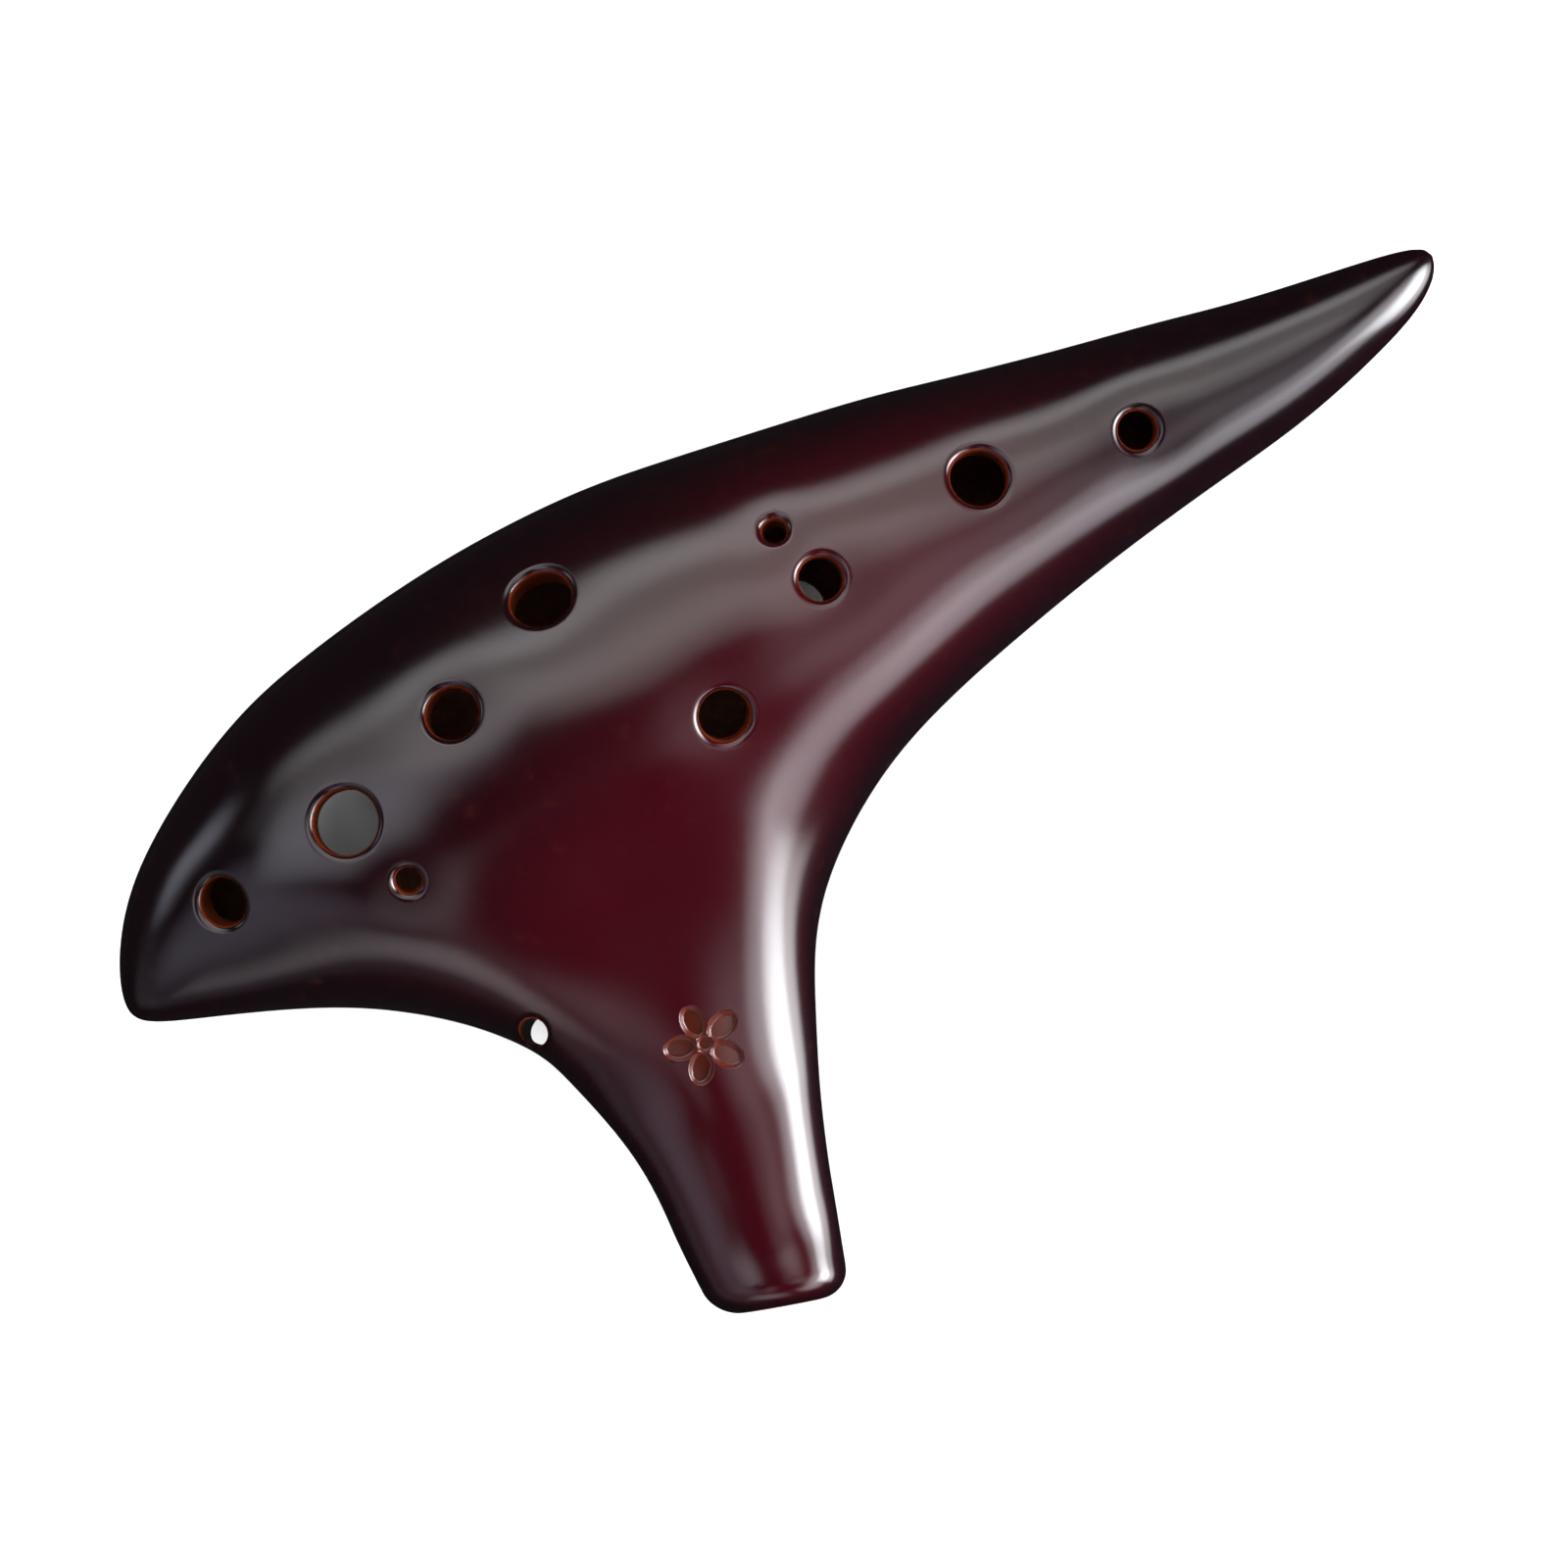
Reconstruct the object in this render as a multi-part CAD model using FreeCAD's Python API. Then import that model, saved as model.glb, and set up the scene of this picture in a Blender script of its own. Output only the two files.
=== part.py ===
import FreeCAD, Part
import math
import os

# Twelve-hole transverse ocarina in fired clay, in millimetres.
# The instrument lies on its back: +X runs from the head to the tail tip, the mouthpiece
# points towards -Y, and the finger holes open towards +Z. z = 0 is the lowest point.

Vector = FreeCAD.Vector
UP = Vector(0, 0, 1)
FAR = 60.0                  # a cutter this long reaches clear of the clay it cuts
SMALL = 1e-4                # closer than this counts as touching

# Body and stem
HALF_LENGTH = 93.0          # half of the overall length
WALL = 4.3                  # thickness of the clay wall
BACK_FLATTENING = 0.93      # crest depth of the back as a share of the front's
SHOULDER_SPREAD = 0.71      # where a section's shoulders sit, as a share of its half width
SHOULDER_DEPTH = 0.71       # and of its half depth
PARTING_HEIGHT = 20.9       # height of the plane in which the two shells meet
CENTRING = 0.57             # step in y that puts the finished box's centre over the origin

# Body sections from head to tail: x, lower edge y, upper edge y, half depth
BODY_SECTIONS = [
    (-80.0, 12.7, 37.6, 12.0),
    (-67.0, 6.4, 44.5, 17.4),
    (-52.0, -3.0, 48.7, 20.6),
    (-32.0, -5.0, 50.9, 22.0),
    (-12.0, -3.0, 50.4, 21.4),
    (7.0, 3.6, 47.3, 19.6),
    (25.0, 8.8, 43.6, 16.6),
    (43.0, 12.4, 39.2, 13.0),
    (59.0, 14.6, 35.5, 10.2),
    (73.0, 16.9, 32.4, 7.6),
    (84.0, 19.9, 30.4, 5.2),
]
HEAD_TIP = [(-87.0, 15.4), (-HALF_LENGTH, 21.5), (-84.5, 34.2)]
TAIL_TIP = [(87.8, 21.4), (HALF_LENGTH, 26.6), (88.0, 29.5)]

# Stem sections from the body to the mouth: centre x, centre y, half width, half depth
STEM_LEAN = math.radians(10.0)
STEM_FIRST = 2              # body section under the stem's head-side edge
STEM_SECTIONS = [
    (-33.3, -16.4, 16.0, 10.8),
    (-34.4, -27.0, 12.4, 8.9),
    (-35.95, -36.0, 10.65, 8.0),
    (-37.35, -43.4, 9.6, 7.4),
    (-38.0, -48.6, 8.7, 7.1),
]
NOSE_TIP = [(-44.6, -57.0), (-39.4, -59.4), (-34.4, -59.0)]    # cut off by the mouth face
MOUTH_FACE = (-38.2, -50.3)                                    # centre of the flat mouth face
MOUTH_SKEW = 7.5                                               # degrees away from square to the stem
MOUTH_ROUNDING = 2.0
CROTCHES = [(-53.2, -5.6), (-9.3, -6.8)]
ALONG = Vector(math.sin(STEM_LEAN), math.cos(STEM_LEAN), 0)    # from the mouth towards the body
ACROSS = Vector(math.cos(STEM_LEAN), -math.sin(STEM_LEAN), 0)

# Voicing, in the stem's own directions: along from the mouth face, height from the parting plane
WINDWAY_WIDTH = 10.0
WINDWAY_INLET = (-3.1, -1.0)        # lower and upper height at the mouth face
WINDWAY_EXIT = (-7.9, -6.7)         # and where the air leaves it
WINDWAY_LENGTH = 40.0
WINDOW_LENGTH = 5.4
THROAT_END = 52.0                   # the chamber's floor is cleared this far, so the window opens into it
THROAT_TOP = -2.6
LABIUM_END = 53.5                   # the ramp meets the outer surface before here
RAMP_SLOPE = 0.8

# Tone holes in the front: x, y, diameter
FINGER_HOLES = [
    (-24.0, 41.3, 7.7),
    (-40.2, 33.7, 6.6),
    (-58.0, 27.9, 8.1),
    (-76.4, 26.2, 6.0),
    (-10.8, 17.2, 6.3),
    (7.5, 26.8, 5.4),
    (30.5, 28.8, 7.0),
    (50.5, 24.6, 4.8),
]
SUB_HOLES = [(-54.6, 17.6, 3.2), (5.2, 35.0, 3.0)]
THUMB_HOLES = [(-58.4, 28.1, 9.2), (3.4, 25.2, 7.4)]

CORD_HOLE = (-49.3, -6.1)           # where the cord hole's axis crosses the parting plane
CORD_HOLE_DRIFT = (0.08, -0.04)     # sideways drift of that axis for each mm towards the back
CORD_HOLE_RADIUS = 1.75
CORD_EYE_RADIUS = 3.2

# Blossom pressed into the stem
BLOSSOM = (-31.9, -16.9)
PETALS = 5
PETAL_RADIUS = 1.75
PETAL_OFFSET = 3.1
PRESS_DEPTH = 0.6

SLIP_THICKNESS = 0.8                # bead of slip smeared along the seam inside the chamber
SLIP_HALF_WIDTH = 2.5

# Chamber: the body's sections drawn in by the wall, short of the solid tail tip
CHAMBER_SECTIONS = 10
CHAMBER_HEAD = [(-82.4, 18.6), (-HALF_LENGTH + WALL, 22.0), (-83.0, 28.8)]
CHAMBER_TAIL = [(77.5, 22.6), (80.5, 25.0), (78.0, 27.6)]
CHAMBER_ROOT = {2: 1.5, 3: -8.5, 4: -2.0}      # lower edge of the sections beside the stem


def cross_lattice(sections, stem_rows):
    """Cells of the sheet lattice: two rows along the body and two columns down the stem."""
    cells = [(i, j) for i in range(sections - 1) for j in (0, 1)]
    cells += [(i, -j) for j in range(1, stem_rows + 1) for i in (STEM_FIRST, STEM_FIRST + 1)]
    return cells


def section_points(x, lower, upper, depth):
    """Lower shoulder, crest and upper shoulder of one body section."""
    middle = (lower + upper) / 2
    spread = SHOULDER_SPREAD * (upper - lower) / 2
    shoulder = SHOULDER_DEPTH * depth
    return [(x, middle - spread, shoulder), (x, middle, depth), (x, middle + spread, shoulder)]


def body_targets(sections, head, tail):
    """Points that the body's surface passes through, by lattice place: sheet and rim."""
    sheet, rim = {}, {}
    for i, (x, lower, upper, depth) in enumerate(sections):
        for j, point in enumerate(section_points(x, lower, upper, depth)):
            sheet[i, j] = point
        rim[i, 0] = (x, lower, 0)
        rim[i, 2] = (x, upper, 0)
    for j in range(3):
        rim[0, j] = head[j] + (0,)
        rim[len(sections) - 1, j] = tail[j] + (0,)
    return sheet, rim


def outer_targets():
    """Targets for the whole outer surface, body and stem."""
    sheet, rim = body_targets(BODY_SECTIONS, HEAD_TIP, TAIL_TIP)
    left, right = STEM_FIRST, STEM_FIRST + 2
    for k, (x, y, half_width, half_depth) in enumerate(STEM_SECTIONS, start=1):
        for i, side in ((left, -1), (left + 1, 0), (right, 1)):
            spread = side * SHOULDER_SPREAD * half_width
            height = half_depth * (SHOULDER_DEPTH if side else 1)
            edge = side * half_width
            sheet[i, -k] = (x + spread * ACROSS.x, y + spread * ACROSS.y, height)
            rim[i, -k] = (x + edge * ACROSS.x, y + edge * ACROSS.y, 0)
    for i, point in enumerate(NOSE_TIP):
        rim[left + i, -len(STEM_SECTIONS)] = point + (0,)
    rim[left, 0] = CROTCHES[0] + (0,)
    rim[right, 0] = CROTCHES[1] + (0,)
    return sheet, rim


def chamber_targets(inset):
    """Targets for the chamber, or for a surface a little inside it."""
    sections = []
    for i, (x, lower, upper, depth) in enumerate(BODY_SECTIONS[:CHAMBER_SECTIONS]):
        inward = WALL + inset
        x_in = x + inward / 2 if i == 0 else x
        sections.append((x_in, lower + inward, upper - inward, depth - inward))
    head = [(x + inset, y) for x, y in CHAMBER_HEAD]
    tail = [(x - inset, y) for x, y in CHAMBER_TAIL]
    sheet, rim = body_targets(sections, head, tail)
    for i, lower in CHAMBER_ROOT.items():
        rim[i, 0] = (sections[i][0], lower + inset, 0)
    return sheet, rim


def pillow_cage(cells, sheet, rim):
    """Closed quad cage: the lattice as a front and a back sheet, joined all round by a rim.

    Returns the target points and the quads of the front half; the back half mirrors it.
    """
    edges = []
    front = []
    for i, j in cells:
        corners = [(i, j), (i + 1, j), (i + 1, j + 1), (i, j + 1)]
        front.append([("front", c) for c in corners])
        edges += [(corners[k], corners[(k + 1) % 4]) for k in range(4)]
    border = [edge for edge in edges if (edge[1], edge[0]) not in edges]
    for a, b in border:
        front.append([("rim", a), ("rim", b), ("front", b), ("front", a)])
    targets = {}
    for quad in front:
        for side, place in quad:
            if side == "rim":
                targets[side, place] = rim[place]
            else:
                x, y, z = sheet[place]
                targets["front", place] = (x, y, z)
                targets["back", place] = (x, y, -z)
    return targets, front


def mirrored(quad):
    """The quad of the back half that faces a quad of the front half."""
    return [("back" if side == "front" else side, place) for side, place in reversed(quad)]


def neighbours(quads):
    """Edge neighbours and face-diagonal neighbours of every vertex."""
    beside, across = {}, {}
    for quad in quads:
        for k, vertex in enumerate(quad):
            beside.setdefault(vertex, set()).update((quad[k - 1], quad[(k + 1) % 4]))
            across.setdefault(vertex, []).append(quad[(k + 2) % 4])
    return beside, across


def solved_cage(targets, quads, rounds=40):
    """Control points whose Catmull-Clark surface passes through the targets."""
    beside, across = neighbours(quads)
    cage = dict(targets)
    for _ in range(rounds):
        moved = {}
        for vertex, point in cage.items():
            n = len(beside[vertex])
            axes = []
            for k in range(3):
                total = n * n * point[k] + 4 * sum(cage[v][k] for v in beside[vertex])
                total += sum(cage[v][k] for v in across[vertex])
                landed = total / (n * (n + 5))
                axes.append(point[k] + targets[vertex][k] - landed)
            moved[vertex] = tuple(axes)
        cage = moved
    return cage


def patch_net(quad, inner, edge, corner):
    """4 x 4 control points of the bicubic patch over one quad of the cage."""
    p, q, r, s = quad
    return [
        [corner[p], edge[p, q], edge[q, p], corner[q]],
        [edge[p, s], inner[p], inner[q], edge[q, r]],
        [edge[s, p], inner[s], inner[r], edge[r, q]],
        [corner[s], edge[s, r], edge[r, s], corner[r]],
    ]


def mean(points):
    return tuple(sum(values) / len(points) for values in zip(*points))


def patch_nets(cage, quads):
    """Bicubic patches that follow the Catmull-Clark surface of a cage, one for each quad."""
    beside, _ = neighbours(quads)
    near_corner, along_edge, inners = {}, {}, []
    for quad in quads:
        inner = {}
        for k, vertex in enumerate(quad):
            n = len(beside[vertex])
            after, before, opposite = quad[(k + 1) % 4], quad[k - 1], quad[(k + 2) % 4]
            weights = [(vertex, n), (after, 2), (before, 2), (opposite, 1)]
            point = tuple(sum(w * cage[v][m] for v, w in weights) / (n + 5) for m in range(3))
            inner[vertex] = point
            near_corner.setdefault(vertex, []).append(point)
            along_edge.setdefault((vertex, after), []).append(point)
            along_edge.setdefault((vertex, before), []).append(point)
        inners.append(inner)
    corner = {vertex: mean(points) for vertex, points in near_corner.items()}
    edge = {pair: mean(points) for pair, points in along_edge.items()}
    return [patch_net(quad, inner, edge, corner) for quad, inner in zip(quads, inners)]


class Pillow:
    """A smooth closed form made of a front half and a back half that meet in the plane z = 0."""

    def __init__(self, cells, sheet, rim):
        targets, front = pillow_cage(cells, sheet, rim)
        back = [mirrored(quad) for quad in front]
        cage = solved_cage(targets, front + back)
        for side, place in cage:
            if side == "back" and ("rim", place) not in cage:
                x, y, z = cage[side, place]
                cage[side, place] = (x, y, BACK_FLATTENING * z)
        nets = patch_nets(cage, front + back)
        self.front = [bezier_face(net) for net in nets[:len(front)]]
        self.back = [bezier_face(net) for net in nets[len(front):]]
        strips = [net for quad, net in zip(front, nets) if quad[0][0] == "rim"]
        self.rim = Part.Wire(Part.__sortEdges__([bezier_edge(net[0]) for net in strips]))

    def solid(self):
        return sewn(self.front + self.back)


def half_shell(outer_faces, outer_rim, inner_faces, inner_rim):
    """One hollow half: outer wall, inner wall and the flat seam face between them."""
    seam = Part.makeFace([outer_rim, inner_rim], "Part::FaceMakerBullseye")
    return sewn(outer_faces + inner_faces + [seam])


def bezier_face(net):
    surface = Part.BezierSurface()
    surface.increase(3, 3)
    for row, points in enumerate(net, start=1):
        for column, point in enumerate(points, start=1):
            surface.setPole(row, column, Vector(*point))
    return surface.toShape()


def bezier_edge(points):
    curve = Part.BezierCurve()
    curve.setPoles([Vector(*point) for point in points])
    return curve.toShape()


def sewn(faces):
    """One closed solid from faces that share their edges."""
    shell = Part.Shell(faces)
    shell.sewShape()
    solid = Part.Solid(shell)
    if solid.Volume < 0:
        solid.reverse()
    return solid


def stem_prism(profile, width=WINDWAY_WIDTH):
    """A prism across the stem from a profile of (distance from the mouth face, height)."""
    start = Vector(*MOUTH_FACE, 0) - ACROSS * (width / 2)
    points = [start + ALONG * along + UP * height for along, height in profile]
    return Part.Face(Part.makePolygon(points + points[:1])).extrude(ACROSS * width)


def rectangle(start, end, low, high):
    """Profile of a rectangle, from two distances along the stem and two heights."""
    return [(start, low), (end, low), (end, high), (start, high)]


def lies_flat(edge):
    """Whether an edge lies in the parting plane."""
    return all(abs(vertex.Z) < SMALL for vertex in edge.Vertexes)


def is_mouth_face(face):
    """Whether a face is the flat one at the mouth, and not the seam."""
    if not isinstance(face.Surface, Part.Plane) or abs(face.normalAt(0, 0).z) > SMALL:
        return False
    return face.distToShape(Part.Vertex(Vector(*MOUTH_FACE, 0)))[0] < SMALL


def trimmed_mouth(half):
    """Cut the nose off flat at the mouth face and round the edge that is left."""
    nose = stem_prism(rectangle(-FAR, 0, -FAR, FAR), FAR)
    nose.rotate(Vector(*MOUTH_FACE, 0), UP, -MOUTH_SKEW)
    half = half.cut(nose).Solids[0]
    mouth = [face for face in half.Faces if is_mouth_face(face)][0]
    return half.makeFillet(MOUTH_ROUNDING, [edge for edge in mouth.Edges if not lies_flat(edge)])


def wall_point(wall, x, y, side):
    """Point and outward normal where the vertical through (x, y) meets the front (+1) or back (-1)."""
    line = Part.makeLine(Vector(x, y, 0), Vector(x, y, side * FAR))
    _, pairs, contacts = line.distToShape(wall)
    index, place = contacts[0][4], contacts[0][5]
    normal = wall.Faces[index].normalAt(*place)
    return pairs[0][0], normal * math.copysign(1, normal.z * side)


def drill(wall, x, y, diameter, side):
    """A cylinder that bores one wall square to its surface."""
    point, normal = wall_point(wall, x, y, side)
    return Part.makeCylinder(diameter / 2, 3 * WALL, point + normal * WALL, normal * -1)


def blossom_print(wall):
    """The pressed blossom: a shallow round dimple for each petal and one for the centre."""
    turns = [math.radians(90 + k * 360 / PETALS) for k in range(PETALS)]
    places = [(0, 0)] + [(PETAL_OFFSET * math.cos(turn), PETAL_OFFSET * math.sin(turn)) for turn in turns]
    ball_radius = (PETAL_RADIUS ** 2 + PRESS_DEPTH ** 2) / (2 * PRESS_DEPTH)
    cutters = []
    for dx, dy in places:
        point, normal = wall_point(wall, BLOSSOM[0] + dx, BLOSSOM[1] + dy, 1)
        cutters.append(Part.makeSphere(ball_radius, point + normal * (ball_radius - PRESS_DEPTH)))
    return cutters


def windway_height(along, face):
    """Height of the windway's lower (0) or upper (1) face, this far from the mouth face."""
    share = along / WINDWAY_LENGTH
    return WINDWAY_INLET[face] + share * (WINDWAY_EXIT[face] - WINDWAY_INLET[face])


def voicing_prisms():
    """Prisms across the stem that shape the windway, the window and the labium."""
    mouth, exit_at = -WALL, WINDWAY_LENGTH
    window_end = exit_at + WINDOW_LENGTH
    lower, upper = [
        [(mouth, windway_height(mouth, face)), (exit_at, windway_height(exit_at, face))] for face in (0, 1)
    ]
    jet = (windway_height(window_end, 0) + windway_height(window_end, 1)) / 2
    ramp_foot = jet - RAMP_SLOPE * (LABIUM_END - window_end)
    profiles = {
        "channel": rectangle(mouth, exit_at, -FAR, 0),
        "block": upper + [(exit_at, 0), (mouth, 0)],
        "roof": lower + [(exit_at, -FAR), (mouth, -FAR)],
        "window": rectangle(exit_at, window_end, -FAR, THROAT_TOP),
        "throat": rectangle(exit_at, THROAT_END, jet, THROAT_TOP),
        "notch": rectangle(window_end, LABIUM_END, -FAR, THROAT_TOP),
        "ramp": [(window_end, jet), (LABIUM_END, ramp_foot), (LABIUM_END, -FAR), (window_end, -FAR)],
    }
    return {name: stem_prism(profile) for name, profile in profiles.items()}


def cord_cylinder(radius):
    """A long cylinder about the cord hole's axis."""
    axis = Vector(-CORD_HOLE_DRIFT[0], -CORD_HOLE_DRIFT[1], 1)
    return Part.makeCylinder(radius, 2 * FAR, Vector(*CORD_HOLE, 0) - axis * FAR, axis)


def seam_bead(chamber, cutters):
    """Slip along the seam: the chamber's outermost skin, a little each side of the parting plane."""
    core = Pillow(cross_lattice(CHAMBER_SECTIONS, 0), *chamber_targets(SLIP_THICKNESS))
    corner = Vector(-2 * FAR, -2 * FAR, -SLIP_HALF_WIDTH)
    band = Part.makeBox(4 * FAR, 4 * FAR, 2 * SLIP_HALF_WIDTH, corner)
    return chamber.solid().common(band).cut([core.solid()] + cutters)


def build():
    """Every piece of the instrument, by node name, with the parting plane at z = 0."""
    body = Pillow(cross_lattice(len(BODY_SECTIONS), len(STEM_SECTIONS)), *outer_targets())
    chamber = Pillow(cross_lattice(CHAMBER_SECTIONS, 0), *chamber_targets(0))
    front_wall, back_wall = Part.Compound(body.front), Part.Compound(body.back)

    front = trimmed_mouth(half_shell(body.front, body.rim, chamber.front, chamber.rim))
    back = trimmed_mouth(half_shell(body.back, body.rim, chamber.back, chamber.rim))

    holes = [drill(front_wall, x, y, diameter, 1) for x, y, diameter in FINGER_HOLES + SUB_HOLES]
    thumbs = [drill(back_wall, x, y, diameter, -1) for x, y, diameter in THUMB_HOLES]
    eye = cord_cylinder(CORD_EYE_RADIUS)
    prisms = voicing_prisms()
    openings = [prisms[name] for name in ("channel", "window", "throat", "notch")]

    whole_eye = front.common(eye).fuse(back.common(eye)).removeSplitter()
    return {
        "front_shell": front.cut(holes + blossom_print(front_wall) + [eye]),
        "back_shell": back.cut(thumbs + [eye] + openings),
        "windway_block": back.common(prisms["block"]),
        "windway_roof": back.common(prisms["roof"]),
        "labium": back.common(prisms["notch"]).cut([prisms["throat"], prisms["ramp"]]),
        "cord_eye": whole_eye.cut(cord_cylinder(CORD_HOLE_RADIUS)),
        "seam_slip": seam_bead(chamber, [prisms["throat"]] + thumbs + holes),
    }


def main():
    os.makedirs("parts", exist_ok=True)
    for node, piece in build().items():
        solid, = piece.Solids
        print(node, round(solid.Volume, 1), solid.isValid())
        solid.translate(Vector(0, CENTRING, PARTING_HEIGHT))
        solid.exportStep("parts/" + node + ".step")


main()
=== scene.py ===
import math

import bmesh
import bpy
import numpy as np
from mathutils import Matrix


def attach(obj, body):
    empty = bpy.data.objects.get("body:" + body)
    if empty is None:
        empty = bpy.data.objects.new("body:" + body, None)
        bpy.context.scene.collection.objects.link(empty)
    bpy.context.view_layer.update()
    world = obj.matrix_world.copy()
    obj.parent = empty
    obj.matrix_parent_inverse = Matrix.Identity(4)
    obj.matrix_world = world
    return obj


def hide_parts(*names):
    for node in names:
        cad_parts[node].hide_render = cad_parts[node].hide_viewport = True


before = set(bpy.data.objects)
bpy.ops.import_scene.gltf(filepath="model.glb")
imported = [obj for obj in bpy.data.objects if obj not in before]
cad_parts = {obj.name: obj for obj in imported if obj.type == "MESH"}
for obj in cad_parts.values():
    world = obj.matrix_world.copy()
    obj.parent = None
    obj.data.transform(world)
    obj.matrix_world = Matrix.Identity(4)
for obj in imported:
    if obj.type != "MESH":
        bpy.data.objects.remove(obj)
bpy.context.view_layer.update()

import openvdb
from mathutils import Matrix, Vector
from mathutils.bvhtree import BVHTree
from mathutils.geometry import delaunay_2d_cdt

# Twelve-hole ocarina in wine-red glazed clay, lying on its back.
# The clay is described as a field: the distance to its surface in millimetres, negative inside.
# The field starts from the same curved forms and dimensions as the CAD pieces, and adds what
# hand finishing adds: rounded rims, a soft mouth edge and crisp petals. z = 0 is the parting plane.

MM = 0.001
VOXEL = 0.65      # grid step of the first, even mesh
SUBDIVISIONS = 5    # rounds that turn a cage into a smooth surface
BAND = 6                            # voxels of true distance kept each side of a surface
TINY = 1e-9
PARTING_HEIGHT = 20.9
CENTRING = 0.57                     # step in y that centres the whole on the origin

# ---- Body and stem ----------------------------------------------------------------------------
HALF_LENGTH = 93.0
WALL = 4.3
BACK_FLATTENING = 0.93
SHOULDER_SPREAD = 0.71
SHOULDER_DEPTH = 0.71
BODY_SECTIONS = [                   # x, lower edge y, upper edge y, half depth
    (-80.0, 12.7, 37.6, 12.0),
    (-67.0, 6.4, 44.5, 17.4),
    (-52.0, -3.0, 48.7, 20.6),
    (-32.0, -5.0, 50.9, 22.0),
    (-12.0, -3.0, 50.4, 21.4),
    (7.0, 3.6, 47.3, 19.6),
    (25.0, 8.8, 43.6, 16.6),
    (43.0, 12.4, 39.2, 13.0),
    (59.0, 14.6, 35.5, 10.2),
    (73.0, 16.9, 32.4, 7.6),
    (84.0, 19.9, 30.4, 5.2),
]
HEAD_TIP = [(-87.0, 15.4), (-HALF_LENGTH, 21.5), (-84.5, 34.2)]
TAIL_TIP = [(87.8, 21.4), (HALF_LENGTH, 26.6), (88.0, 29.5)]
STEM_LEAN = math.radians(10.0)
STEM_FIRST = 2
STEM_SECTIONS = [                   # centre x, centre y, half width, half depth
    (-33.3, -16.4, 16.0, 10.8),
    (-34.4, -27.0, 12.4, 8.9),
    (-35.95, -36.0, 10.65, 8.0),
    (-37.35, -43.4, 9.6, 7.4),
    (-38.7, -52.8, 8.35, 6.9),
]
NOSE_TIP = [(-46.0, -61.5), (-40.6, -64.0), (-35.4, -63.4)]
MOUTH_FACE = np.array((-38.2, -50.3, 0.0))
MOUTH_SKEW = math.radians(7.5)      # away from square to the stem
MOUTH_ROUNDING = 3.4
CROTCHES = [(-53.2, -5.6), (-9.3, -6.8)]
ALONG = np.array((math.sin(STEM_LEAN), math.cos(STEM_LEAN), 0.0))
ACROSS = np.array((math.cos(STEM_LEAN), -math.sin(STEM_LEAN), 0.0))
INTO_MOUTH = np.array((math.sin(STEM_LEAN + MOUTH_SKEW), math.cos(STEM_LEAN + MOUTH_SKEW), 0.0))
UP = np.array((0.0, 0.0, 1.0))

CHAMBER_SECTIONS = 10
CHAMBER_HEAD = [(-82.4, 18.6), (-HALF_LENGTH + WALL, 22.0), (-83.0, 28.8)]
CHAMBER_TAIL = [(77.5, 22.6), (80.5, 25.0), (78.0, 27.6)]
CHAMBER_ROOT = {2: 1.5, 3: -8.5, 4: -2.0}

# ---- Voicing: along the stem from the mouth face, and height ---------------------------------
WINDWAY_WIDTH = 10.0
WINDWAY_INLET = (-3.1, -1.0)
WINDWAY_EXIT = (-7.9, -6.7)
WINDWAY_LENGTH = 40.0
WINDOW_LENGTH = 5.4
THROAT_END = 52.0
THROAT_TOP = -2.6
LABIUM_END = 53.5
RAMP_SLOPE = 0.8

# ---- Holes: x, y, diameter -------------------------------------------------------------------
FINGER_HOLES = [
    (-24.0, 41.3, 7.7),
    (-40.2, 33.7, 6.6),
    (-58.0, 27.9, 8.1),
    (-76.4, 26.2, 6.0),
    (-10.8, 17.2, 6.3),
    (7.5, 26.8, 5.4),
    (30.5, 28.8, 7.0),
    (50.5, 24.6, 4.8),
]
SUB_HOLES = [(-54.6, 17.6, 3.2), (5.2, 35.0, 3.0)]
THUMB_HOLES = [(-58.4, 28.1, 9.2), (3.4, 25.2, 7.4)]
CORD_HOLE = np.array((-49.3, -6.1, 0.0))
CORD_HOLE_DRIFT = (0.08, -0.04)
CORD_HOLE_RADIUS = 1.75
RIM_ROUNDING = 1.1
CORD_RIM_ROUNDING = 0.9
VOICING_ROUNDING = 0.25
BORE_HALF_LENGTH = 2 * WALL         # each side of the outer surface
BORE_REACH = 3 * WALL               # how far from its middle a cut changes the field
CORD_HOLE_HALF_LENGTH = 8 * WALL
CORD_HOLE_REACH = 4 * WALL
MOUTH_REACH = 8 * WALL
RAY_HEIGHT = 20 * WALL              # well above or below the instrument

# ---- Hand finishing: the surface is drawn in a little, unevenly ------------------------------
WAVES = [                           # wave vector per mm, phase, depth
    ((0.21, 0.13, 0.05), 0.4, 0.035),
    ((-0.12, 0.24, 0.08), 2.1, 0.035),
    ((0.07, -0.18, 0.16), 4.4, 0.030),
    ((0.34, -0.10, -0.06), 1.2, 0.010),
]
DENT_DEPTH = 0.40                   # round each hole
DENT_MARGIN = 3.2

# ---- Blossom pressed into the stem -----------------------------------------------------------
BLOSSOM = np.array((-31.9, -16.9))
PETALS = 5
PETAL_HALF = np.array((1.95, 1.35))  # half length and half width of a petal
PETAL_OFFSET = 3.0
BUTTON_HALF = np.array((1.0, 1.0))  # the blossom's round middle
PRESS_DEPTH = 0.6
PRESS_SLOPE = 0.30                  # half width of the petal's side wall, seen from above


def cross_lattice(sections, stem_rows):
    """Cells of the sheet lattice: two rows along the body and two columns down the stem."""
    cells = [(i, j) for i in range(sections - 1) for j in (0, 1)]
    cells += [(i, -j) for j in range(1, stem_rows + 1) for i in (STEM_FIRST, STEM_FIRST + 1)]
    return cells


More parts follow.
